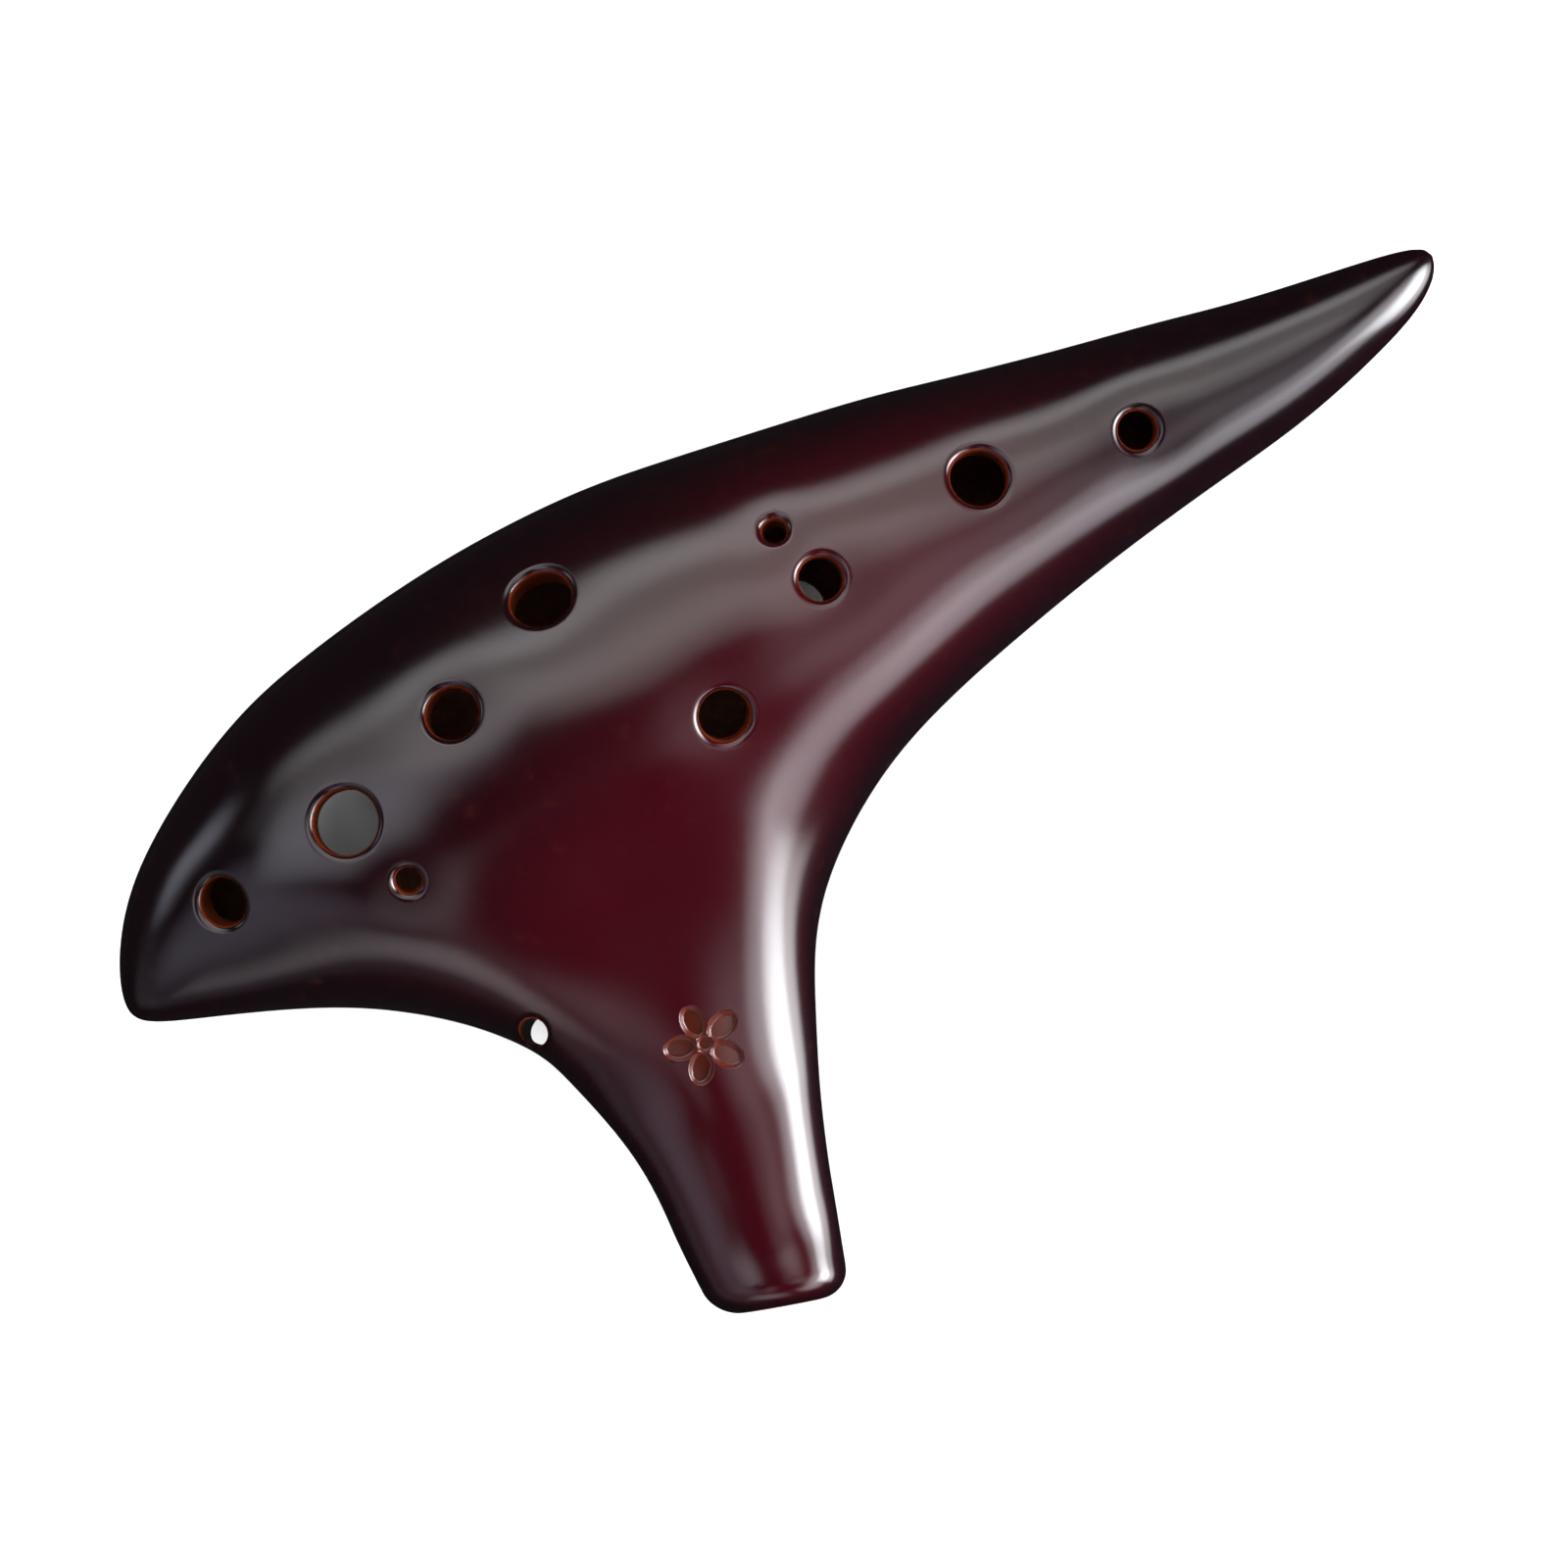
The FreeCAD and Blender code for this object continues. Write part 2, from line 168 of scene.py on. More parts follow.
def body_targets(sections, head, tail):
    """Points that the body's surface passes through, by lattice place: sheet and rim."""
    sheet, rim = {}, {}
    for i, (x, lower, upper, depth) in enumerate(sections):
        middle, spread = (lower + upper) / 2, SHOULDER_SPREAD * (upper - lower) / 2
        sheet[i, 0] = (x, middle - spread, SHOULDER_DEPTH * depth)
        sheet[i, 1] = (x, middle, depth)
        sheet[i, 2] = (x, middle + spread, SHOULDER_DEPTH * depth)
        rim[i, 0], rim[i, 2] = (x, lower, 0), (x, upper, 0)
    for j in range(3):
        rim[0, j] = head[j] + (0,)
        rim[len(sections) - 1, j] = tail[j] + (0,)
    return sheet, rim


def outer_targets():
    """Targets for the whole outer surface, body and stem."""
    sheet, rim = body_targets(BODY_SECTIONS, HEAD_TIP, TAIL_TIP)
    for k, (x, y, half_width, half_depth) in enumerate(STEM_SECTIONS, start=1):
        for side in (-1, 0, 1):
            place = (STEM_FIRST + 1 + side, -k)
            spread = side * SHOULDER_SPREAD * half_width
            height = half_depth * (SHOULDER_DEPTH if side else 1)
            edge = side * half_width
            sheet[place] = (x + spread * ACROSS[0], y + spread * ACROSS[1], height)
            rim[place] = (x + edge * ACROSS[0], y + edge * ACROSS[1], 0)
    for i, point in enumerate(NOSE_TIP):
        rim[STEM_FIRST + i, -len(STEM_SECTIONS)] = point + (0,)
    rim[STEM_FIRST, 0] = CROTCHES[0] + (0,)
    rim[STEM_FIRST + 2, 0] = CROTCHES[1] + (0,)
    return sheet, rim


def chamber_targets():
    """Targets for the chamber: the body's sections drawn in by the wall."""
    sections = [
        (x + (WALL / 2 if i == 0 else 0), lower + WALL, upper - WALL, depth - WALL)
        for i, (x, lower, upper, depth) in enumerate(BODY_SECTIONS[:CHAMBER_SECTIONS])
    ]
    sheet, rim = body_targets(sections, CHAMBER_HEAD, CHAMBER_TAIL)
    for i, lower in CHAMBER_ROOT.items():
        rim[i, 0] = (sections[i][0], lower, 0)
    return sheet, rim


def pillow_cage(cells, sheet, rim):
    """Closed quad cage: a front and a back sheet joined by a rim. Returns names, points, quads."""
    front, edges = [], []
    for i, j in cells:
        corners = [(i, j), (i + 1, j), (i + 1, j + 1), (i, j + 1)]
        front.append([("front", c) for c in corners])
        edges += [(corners[k], corners[(k + 1) % 4]) for k in range(4)]
    for a, b in [edge for edge in edges if (edge[1], edge[0]) not in edges]:
        front.append([("rim", a), ("rim", b), ("front", b), ("front", a)])
    swap = {"front": "back", "rim": "rim"}
    back = [[(swap[side], place) for side, place in reversed(quad)] for quad in front]
    names = sorted({name for quad in front + back for name in quad})
    points = []
    for side, place in names:
        x, y, z = rim[place] if side == "rim" else sheet[place]
        points.append((x, y, -z if side == "back" else z))
    index = {name: k for k, name in enumerate(names)}
    quads = np.array([[index[name] for name in quad] for quad in front + back])
    return names, np.array(points, float), quads


def solved_cage(targets, quads, rounds=40):
    """Control points whose Catmull-Clark surface passes through the targets."""
    count = len(targets)
    beside, across = np.zeros((count, count)), np.zeros((count, count))
    for k in range(4):
        np.maximum.at(beside, (quads[:, k], quads[:, (k + 1) % 4]), 1)
        np.maximum.at(beside, (quads[:, (k + 1) % 4], quads[:, k]), 1)
        np.add.at(across, (quads[:, k], quads[:, (k + 2) % 4]), 1)
    valence = beside.sum(1)
    mask = (np.diag(valence ** 2) + 4 * beside + across) / (valence * (valence + 5))[:, None]
    cage = targets.copy()
    for _ in range(rounds):
        cage += targets - mask @ cage
    return cage


def subdivided(points, quads):
    """One round of Catmull-Clark subdivision of a closed quad cage."""
    count, faces = len(points), len(quads)
    middles = points[quads].mean(1)
    pairs = np.sort(np.stack([quads, np.roll(quads, -1, axis=1)], -1).reshape(-1, 2), axis=1)
    edges, which = np.unique(pairs, axis=0, return_inverse=True)
    which = which.ravel()
    beside = np.zeros((len(edges), 3))
    np.add.at(beside, which, np.repeat(middles, 4, axis=0))
    spans = points[edges[:, 0]] + points[edges[:, 1]]
    valence = np.bincount(quads.ravel())[:, None]
    around, along = np.zeros((count, 3)), np.zeros((count, 3))
    np.add.at(around, quads.ravel(), np.repeat(middles, 4, axis=0))
    np.add.at(along, edges.ravel(), np.repeat(spans / 2, 2, axis=0))
    moved = (around / valence + 2 * along / valence + (valence - 3) * points) / valence
    which = which.reshape(faces, 4) + count
    centres = np.arange(faces) + count + len(edges)
    smaller = [np.stack([quads[:, k], which[:, k], centres, which[:, k - 1]], 1) for k in range(4)]
    return np.concatenate([moved, (spans + beside) / 4, middles]), np.concatenate(smaller)


def limit_points(points, quads):
    """Where the cage's points end up on the smooth surface."""
    valence = np.bincount(quads.ravel())[:, None]
    beside, across = np.zeros_like(points), np.zeros_like(points)
    for k in range(4):
        np.add.at(beside, quads[:, k], points[quads[:, (k + 1) % 4]])
        np.add.at(across, quads[:, k], points[quads[:, (k + 2) % 4]])
    return (valence ** 2 * points + 4 * beside + across) / (valence * (valence + 5))


def dot(u, v):
    """The products of two lists of vectors, row by row."""
    return np.einsum("ij,ij->i", u, v)


class Pillow:
    """A smooth closed form as dense samples with true normals, and the distance to it."""

    def __init__(self, cells, sheet, rim):
        names, targets, quads = pillow_cage(cells, sheet, rim)
        cage = solved_cage(targets, quads)
        rims = {place for side, place in names if side == "rim"}
        for k, (side, place) in enumerate(names):
            if side == "back" and place not in rims:
                cage[k, 2] *= BACK_FLATTENING
        for _ in range(SUBDIVISIONS):
            cage, quads = subdivided(cage, quads)
        self.points = limit_points(cage, quads)
        a, b, c, d = (self.points[quads[:, k]] for k in range(4))
        self.normals = np.zeros_like(self.points)
        np.add.at(self.normals, quads.ravel(), np.repeat(np.cross(c - a, d - b), 4, axis=0))
        self.normals /= np.linalg.norm(self.normals, axis=1, keepdims=True)
        self.triangles = np.concatenate([quads[:, [0, 1, 2]], quads[:, [0, 2, 3]]])
        self.tree = BVHTree.FromPolygons(self.points.tolist(), self.triangles.tolist())

    def distance(self, points):
        """Signed distance and gradient at any points."""
        hits = [self.tree.find_nearest(p) for p in points.tolist()]
        near = np.array([hit[0] for hit in hits])
        triangles = self.triangles[[hit[2] for hit in hits]]
        a, b, c = (self.points[triangles[:, k]] for k in range(3))
        ab, ac, ap = b - a, c - a, near - a
        scale = dot(ab, ab) * dot(ac, ac) - dot(ab, ac) ** 2
        v = (dot(ac, ac) * dot(ap, ab) - dot(ab, ac) * dot(ap, ac)) / scale
        w = (dot(ab, ab) * dot(ap, ac) - dot(ab, ac) * dot(ap, ab)) / scale
        weights = np.clip(np.stack([1 - v - w, v, w], 1), 0, 1)
        normal = np.einsum("ij,ijk->ik", weights, self.normals[triangles])
        normal /= np.linalg.norm(normal, axis=1, keepdims=True)
        offset = points - near
        return np.copysign(np.linalg.norm(offset, axis=1), dot(offset, normal)), normal

    def grid(self, low, shape):
        """Signed distance on the even grid, cut off beyond the band."""
        transform = openvdb.createLinearTransform(voxelSize=VOXEL)
        volume = openvdb.FloatGrid.createLevelSetFromPolygons(
            self.points, triangles=self.triangles, transform=transform, halfWidth=BAND)
        values = np.zeros(shape, np.float32)
        volume.copyToArray(values, ijk=tuple(int(k) for k in low))
        return values


# ---- Cuts: each gives the distance to what is cut away, negative inside it, and its gradient --

def slab_set(points, planes):
    """The common part of half spaces, each (unit normal, offset along it)."""
    value, gradient = np.full(len(points), -np.inf), np.zeros((len(points), 3))
    for normal, offset in planes:
        here = points @ normal - offset
        inside = here > value
        value[inside], gradient[inside] = here[inside], normal
    return value, gradient


def tube(points, start, axis, radius, ends):
    """A cylinder about an axis, from ends[0] to ends[1] along it."""
    offset = points - start
    along = offset @ axis
    spread = offset - along[:, None] * axis
    distance = np.linalg.norm(spread, axis=1)
    value = distance - radius
    gradient = spread / np.maximum(distance, TINY)[:, None]
    for side, limit in ((-1, -ends[0]), (1, ends[1])):
        here = side * along - limit
        beyond = here > value
        value[beyond], gradient[beyond] = here[beyond], side * axis
    return value, gradient


def stem_box(start, end, low=None, high=None):
    """Half spaces of a box across the stem."""
    planes = [(side * ACROSS, side * (MOUTH_FACE @ ACROSS) + WINDWAY_WIDTH / 2) for side in (-1, 1)]
    planes.append((-ALONG, -(MOUTH_FACE @ ALONG + start)))
    planes.append((ALONG, MOUTH_FACE @ ALONG + end))
    if low is not None:
        planes.append((-UP, -low))
    if high is not None:
        planes.append((UP, high))
    return planes


def sloped(side, along, height, slope):
    """The half space above (-1) or below (+1) a plane that climbs by slope along the stem."""
    normal = UP - slope * ALONG
    length = np.linalg.norm(normal)
    point = MOUTH_FACE + along * ALONG + height * UP
    return side * normal / length, side * (point @ normal) / length


def voicing_cuts():
    """Windway, window, throat and the ramp under the labium."""
    slopes = [(WINDWAY_EXIT[k] - WINDWAY_INLET[k]) / WINDWAY_LENGTH for k in (0, 1)]
    window_end = WINDWAY_LENGTH + WINDOW_LENGTH
    jet = sum(WINDWAY_INLET[k] + slopes[k] * window_end for k in (0, 1)) / 2
    windway = stem_box(-WALL, WINDWAY_LENGTH + VOXEL)
    windway += [sloped(-1, 0, WINDWAY_INLET[0], slopes[0]), sloped(1, 0, WINDWAY_INLET[1], slopes[1])]
    window = stem_box(WINDWAY_LENGTH, window_end, high=THROAT_TOP)
    throat = stem_box(WINDWAY_LENGTH, THROAT_END, jet, THROAT_TOP)
    ramp = stem_box(window_end - VOXEL, LABIUM_END) + [sloped(1, window_end, jet, -RAMP_SLOPE)]
    return [windway, window, throat, ramp]


# ---- The whole field -------------------------------------------------------------------------

TRAITS = ("bore", "press", "bare", "mouth")
CHAMBER_ROUNDING = 1e-3
LEAST_STEEPNESS = 0.7               # keeps a step onto the surface short where two forms meet


def rounded_max(a, b, rounding):
    """The larger of two fields with a round edge between them, and the second one's share."""
    u, v = np.maximum(a + rounding, 0), np.maximum(b + rounding, 0)
    length = np.hypot(u, v)
    value = np.minimum(np.maximum(a, b), -rounding) + length
    edge = length > TINY
    share = np.where(edge, v / np.where(edge, length, 1), b > a)
    rest = np.where(edge, u / np.where(edge, length, 1), b <= a)
    return value, rest, share


def hand_relief(points, dents):
    """How far the surface is drawn in at any points, and the gradient of that."""
    depth, gradient = np.zeros(len(points)), np.zeros((len(points), 3))
    for vector, phase, size in WAVES:
        angle = points @ np.array(vector) + phase
        depth += size * (1 + np.sin(angle))
        gradient += size * np.cos(angle)[:, None] * np.array(vector)
    for centre, radius in dents:
        offset = (points - centre) / (radius + DENT_MARGIN)
        here = DENT_DEPTH * np.exp(-dot(offset, offset))
        depth += here
        gradient -= 2 * here[:, None] * offset / (radius + DENT_MARGIN)
    return depth, gradient


def blossom_press(points):
    """How far the stamp presses the surface in, the gradient of that, and its share of the depth."""
    plan = points[:, :2] - BLOSSOM
    nearest, slope = np.full(len(points), np.inf), np.zeros((len(points), 3))
    turns = [math.radians(90 + k * 360 / PETALS) for k in range(PETALS)]
    shapes = [(PETAL_OFFSET, PETAL_HALF, turn) for turn in turns] + [(0, BUTTON_HALF, 0)]
    for offset, half, turn in shapes:
        axes = np.array([(math.cos(turn), math.sin(turn)), (-math.sin(turn), math.cos(turn))])
        place = plan @ axes.T - (offset, 0)
        stretch = np.linalg.norm(place / half, axis=1)
        lean = place / half ** 2
        steep = np.maximum(np.linalg.norm(lean, axis=1), 1e-6)
        distance = stretch * (stretch - 1) / steep
        closer = distance < nearest
        nearest[closer] = distance[closer]
        slope[closer, :2] = ((lean / steep[:, None]) @ axes)[closer]
    t = np.clip((PRESS_SLOPE - nearest) / (2 * PRESS_SLOPE), 0, 1) * (points[:, 2] > 0)
    share = t * t * (3 - 2 * t)
    steepness = -6 * t * (1 - t) / (2 * PRESS_SLOPE)
    return PRESS_DEPTH * share, PRESS_DEPTH * steepness[:, None] * slope, share


class Cut:
    """Something cut away: its shape, how round its edge is, and the trait of the clay it bares."""

    def __init__(self, shape, rounding, trait, centre, reach):
        self.shape, self.rounding, self.trait = shape, rounding, TRAITS.index(trait)
        self.centre, self.reach = np.asarray(centre, float), reach

    def near(self, points):
        return np.linalg.norm(points - self.centre, axis=1) < self.reach


def wall_place(body, x, y, side):
    """Point and outward normal of the outer surface above or below (x, y)."""
    place, _, _, _ = body.tree.ray_cast((x, y, side * RAY_HEIGHT), (0, 0, -side))
    place = np.array(place)
    _, normal = body.distance(place[None])
    return place, normal[0]


def all_cuts(body):
    """Everything cut away, and the centre and radius of each hole that the surface dips towards."""
    cuts, dents = [], []

    def add_bore(x, y, diameter, side):
        place, axis = wall_place(body, x, y, side)
        ends = (-BORE_HALF_LENGTH, BORE_HALF_LENGTH)
        shape = lambda p: tube(p, place, axis, diameter / 2, ends)
        cuts.append(Cut(shape, RIM_ROUNDING, "bore", place, BORE_REACH))
        dents.append((place, diameter / 2))

    for hole in FINGER_HOLES + SUB_HOLES:
        add_bore(*hole, 1)
    for hole in THUMB_HOLES:
        add_bore(*hole, -1)

    axis = np.array((-CORD_HOLE_DRIFT[0], -CORD_HOLE_DRIFT[1], 1.0))
    axis /= np.linalg.norm(axis)
    ends = (-CORD_HOLE_HALF_LENGTH, CORD_HOLE_HALF_LENGTH)
    cord = lambda p: tube(p, CORD_HOLE, axis, CORD_HOLE_RADIUS, ends)
    cuts.append(Cut(cord, CORD_RIM_ROUNDING, "bore", CORD_HOLE, CORD_HOLE_REACH))

    root = MOUTH_FACE + ALONG * WINDWAY_LENGTH / 2
    for planes in voicing_cuts():
        shape = lambda p, planes=planes: slab_set(p, planes)
        cuts.append(Cut(shape, VOICING_ROUNDING, "bare", root, 1.2 * WINDWAY_LENGTH))
    return cuts, dents


def mouth_plane(points):
    return (MOUTH_FACE - points) @ INTO_MOUTH


def grid_field(body, chamber, cuts):
    """The field on the even grid, without the hand relief, and the grid's lowest index."""
    low = np.floor(body.points.min(0) / VOXEL).astype(int) - BAND
    high = np.ceil(body.points.max(0) / VOXEL).astype(int) + BAND
    shape = tuple(high - low)
    values = body.grid(low, shape)
    axes = [(low[k] + np.arange(shape[k])) * VOXEL for k in range(3)]

    def block(centre, reach):
        """Index ranges of the grid within reach of a point."""
        ranges = []
        for k in range(3):
            start = int(np.searchsorted(axes[k], centre[k] - reach))
            ranges.append(slice(start, int(np.searchsorted(axes[k], centre[k] + reach))))
        return tuple(ranges)

    def merge(part, rounding, shape_of):
        points = np.stack(np.meshgrid(*[axes[k][part[k]] for k in range(3)], indexing="ij"), -1)
        here = values[part]
        mixed, _, _ = rounded_max(here, shape_of(points.reshape(-1, 3)).reshape(here.shape), rounding)
        values[part] = mixed

    merge(block(MOUTH_FACE, MOUTH_REACH), MOUTH_ROUNDING, mouth_plane)
    values = np.maximum(values, -chamber.grid(low, shape))
    for cut in cuts:
        merge(block(cut.centre, cut.reach), cut.rounding, lambda p: -cut.shape(p)[0])
    return values, low


def exact_field(points, body, chamber, cuts, dents):
    """Distance, gradient and traits at any points near the surface."""
    value, gradient = body.distance(points)
    depth, slope = hand_relief(points, dents)
    press, press_slope, share = blossom_press(points)
    value, gradient = value + depth + press, gradient + slope + press_slope
    traits = np.zeros((len(points), len(TRAITS)))
    traits[:, TRAITS.index("press")] = share

    def merge(chosen, second, second_gradient, rounding, trait):
        mixed, rest, share = rounded_max(value[chosen], second, rounding)
        value[chosen] = mixed
        gradient[chosen] = rest[:, None] * gradient[chosen] + share[:, None] * second_gradient
        traits[chosen] *= (rest ** 2)[:, None]
        traits[chosen, trait] += share ** 2

    mouth = np.linalg.norm(points - MOUTH_FACE, axis=1) < MOUTH_REACH
    merge(mouth, mouth_plane(points[mouth]), -INTO_MOUTH, MOUTH_ROUNDING, TRAITS.index("mouth"))
    deep = value < -WALL / 3
    if deep.any():
        inner, inner_gradient = chamber.distance(points[deep])
        merge(deep, -inner, -inner_gradient, CHAMBER_ROUNDING, TRAITS.index("bare"))
    for cut in cuts:
        near = cut.near(points)
        if near.any():
            here, slope = cut.shape(points[near])
            merge(near, -here, -slope, cut.rounding, cut.trait)
    length = np.maximum(np.linalg.norm(gradient, axis=1), LEAST_STEEPNESS)
    return value / length, gradient / length[:, None], traits


def settled(points, field, rounds=3):
    """Points moved onto the surface, with their normals and traits."""
    for _ in range(rounds):
        value, gradient, _ = exact_field(points, *field)
        points = points - np.clip(value, -VOXEL, VOXEL)[:, None] * gradient
    _, gradient, traits = exact_field(points, *field)
    return points, gradient, traits


# ---- Mesh ------------------------------------------------------------------------------------

REFINED = [TRAITS.index(name) for name in ("bore", "press", "bare")]
REFINE_ROUNDS = 2
REFINE_CHANGE = 0.12                # a face is split where a trait changes by more than this


def even_mesh(field):
    """The field's surface as a quad mesh of even density."""
    values, low = grid_field(*field[:3])
    volume = openvdb.FloatGrid(BAND * VOXEL)
    volume.copyFromArray(values, ijk=tuple(int(k) for k in low))
    volume.transform = openvdb.createLinearTransform(voxelSize=VOXEL)
    points, quads = volume.convertToQuads(0.0)
    points, _, traits = settled(points.astype(float), field)
    mesh = bmesh.new()
    corners = [mesh.verts.new(p) for p in points.tolist()]
    for quad in quads.tolist():
        mesh.faces.new([corners[k] for k in quad])
    return mesh, traits


def vertex_points(mesh):
    return np.array([vertex.co[:] for vertex in mesh.verts])


def refine(mesh, traits, field):
    """Split the faces round every rim, and settle the new points."""
    mesh.verts.index_update()
    chosen = set()
    for face in mesh.faces:
        near = traits[[vertex.index for vertex in face.verts]][:, REFINED]
        if (near.max(0) - near.min(0)).max() > REFINE_CHANGE:
            chosen.update(edge for vertex in face.verts for edge in vertex.link_edges)
    bmesh.ops.subdivide_edges(mesh, edges=list(chosen), cuts=1, use_grid_fill=True)
    bmesh.ops.triangulate(mesh, faces=[face for face in mesh.faces if len(face.verts) > 4])
    points, _, traits = settled(vertex_points(mesh), field, rounds=2)
    for vertex, point in zip(mesh.verts, points.tolist()):
        vertex.co = point
    return traits


INSIDE = 1                          # the triangulation keeps the triangles inside the outline
ON_PLANE = 1e-3                     # a point this near the parting plane is moved onto it
SAME_POINT = 1e-6


def half_of(mesh, side, field):
    """The part of the mesh on one side of the parting plane, closed with a flat seam."""
    half = mesh.copy()
    geometry = half.verts[:] + half.edges[:] + half.faces[:]
    bmesh.ops.bisect_plane(half, geom=geometry, dist=ON_PLANE, plane_co=(0, 0, 0),
                           plane_no=(0, 0, side), clear_inner=True)
    half.verts.index_update()
    rim = [edge for edge in half.edges if edge.is_boundary]
    corners = sorted({vertex for edge in rim for vertex in edge.verts}, key=lambda v: v.index)
    index = {vertex: k for k, vertex in enumerate(corners)}
    seam = delaunay_2d_cdt([vertex.co.xy for vertex in corners],
                           [[index[vertex] for vertex in edge.verts] for edge in rim], [],
                           INSIDE, SAME_POINT)
    triangles = np.array(seam[2])
    middles = np.array([point[:] for point in seam[0]])[triangles].mean(1)
    in_clay = exact_field(np.pad(middles, ((0, 0), (0, 1))), *field)[0] < 0
    for triangle in triangles[in_clay].tolist():
        three = [corners[seam[3][k][0]] for k in triangle]
        half.faces.new(three if side < 0 else reversed(three))
    bmesh.ops.triangulate(half, faces=half.faces[:])
    return half


def smooth_step(low, high, values):
    t = np.clip((values - low) / (high - low), 0, 1)
    return t * t * (3 - 2 * t)


GLOW_LINE = np.array([(-36.6, -45.0), (-31.0, -2.0), (12.0, 25.0)])
GLOW_WIDTHS = (15.0, 30.0)          # up the stem, and along the body
PAINTED_SHADE_FACING = (0.25, 0.95)          # painted shade: the wine red fades to near black as the surface turns from up to sideways


def sprayed_darkness_and_painted_shade(points, normals):
    """How dark the glaze is: 0 is wine red in the sprayed glow, 1 is nearly black at head and tail, and
    painted shade darkens it where the surface turns sideways.
    """
    spread = np.full(len(points), np.inf)
    for start, end, width in zip(GLOW_LINE, GLOW_LINE[1:], GLOW_WIDTHS):
        run = end - start
        along = np.clip((points[:, :2] - start) @ run / (run @ run), 0, 1)
        aside = np.linalg.norm(points[:, :2] - start - along[:, None] * run, axis=1)
        spread = np.minimum(spread, aside / width)
    glow = np.exp(-spread ** 2)
    # painted shade: the glaze colour is darkened where the surface faces sideways rather than up or down
    return 1 - glow * smooth_step(*PAINTED_SHADE_FACING, np.abs(normals[:, 2]))


def finished_piece(name, bm, field, material):
    """A mesh object in metres with true normals and the traits that its glaze follows."""
    points = vertex_points(bm)
    _, normals, traits = exact_field(points, *field)
    mesh = bpy.data.meshes.new(name)
    bm.to_mesh(mesh)
    mesh.transform(Matrix.Translation((0, CENTRING * MM, PARTING_HEIGHT * MM)) @ Matrix.Scale(MM, 4))
    # depth carries the sprayed darkening and the painted shade on sideways-facing surfaces
    values = dict(zip(TRAITS, traits.T), depth=sprayed_darkness_and_painted_shade(points, normals))
    for trait, numbers in values.items():
        attribute = mesh.attributes.new(trait, "FLOAT", "POINT")
        attribute.data.foreach_set("value", numbers.astype(np.float32))
    mesh.shade_smooth()
    mesh.normals_split_custom_set_from_vertices(normals.tolist())
    mesh.materials.append(material)
    piece = bpy.data.objects.new(name, mesh)
    bpy.context.scene.collection.objects.link(piece)
    return piece


# ---- Materials -------------------------------------------------------------------------------

class Nodes:
    """Short ways to build the nodes of a material or a light."""

    def __init__(self, owner, shader="Principled BSDF"):
        owner.use_nodes = True
        self.owner = owner
        self.tree = owner.node_tree
        self.shader = self.tree.nodes[shader]

    def new(self, kind, **settings):
        node = self.tree.nodes.new(kind)
        for key, value in settings.items():
            setattr(node, key, value)
        return node

    def link(self, source, socket):
        self.tree.links.new(source, socket)

    def trait(self, name):
        return self.new("ShaderNodeAttribute", attribute_name=name).outputs["Fac"]

    def math(self, operation, first, second=0.0, clamp=False):
        node = self.new("ShaderNodeMath", operation=operation, use_clamp=clamp)
        for socket, value in zip(node.inputs, (first, second)):
            if isinstance(value, (int, float)):
                socket.default_value = value
            else:
                self.link(value, socket)
        return node.outputs[0]

    def uneven(self, value, pattern, amount):
        """A value that a pattern raises and lowers by up to half the amount."""
        return self.math("ADD", value, self.math("MULTIPLY", self.math("SUBTRACT", pattern, 0.5), amount))

    def ramp(self, factor, *stops):
        node = self.new("ShaderNodeValToRGB")
        ramp = node.color_ramp
        while len(ramp.elements) < len(stops):
            ramp.elements.new(0.5)
        for element, (place, colour) in zip(ramp.elements, stops):
            element.position = place
            element.color = (*colour, 1) if isinstance(colour, tuple) else (colour,) * 3 + (1,)
        self.link(factor, node.inputs[0])
        return node.outputs[0]

    def noise(self, scale, detail=4.0, roughness=0.5, stretch=None):
        place = self.new("ShaderNodeTexCoord").outputs["Object"]
        if stretch:
            mapping = self.new("ShaderNodeMapping")
            mapping.inputs["Scale"].default_value = stretch
            self.link(place, mapping.inputs["Vector"])
            place = mapping.outputs[0]
        node = self.new("ShaderNodeTexNoise")
        node.inputs["Scale"].default_value = scale
        node.inputs["Detail"].default_value = detail
        node.inputs["Roughness"].default_value = roughness
        self.link(place, node.inputs["Vector"])
        return node.outputs[0]

    def blend(self, factor, first, second):
        node = self.new("ShaderNodeMix", data_type="RGBA")
        self.link(factor, node.inputs["Factor"])
        for socket, value in ((node.inputs[6], first), (node.inputs[7], second)):
            if isinstance(value, tuple):
                socket.default_value = (*value, 1)
            else:
                self.link(value, socket)
        return node.outputs[2]

    def bump(self, height, distance, strength=1.0, after=None):
        node = self.new("ShaderNodeBump")
        node.inputs["Distance"].default_value = distance
        node.inputs["Strength"].default_value = strength
        self.link(height, node.inputs["Height"])
        if after:
            self.link(after, node.inputs["Normal"])
        return node.outputs[0]


# Colours, as linear red, green and blue
WINE = (0.043, 0.0007, 0.0040)
WINE_DARK = (0.019, 0.0006, 0.0026)
NIGHT = (0.0062, 0.0011, 0.0026)
RUST = (0.24, 0.030, 0.005)
RUST_BROWN = (0.10, 0.018, 0.005)
COPPER = (0.17, 0.026, 0.014)
CLAY = (0.36, 0.14, 0.055)
CLAY_DARK = (0.20, 0.07, 0.028)
GLAZE_IOR = 1.75


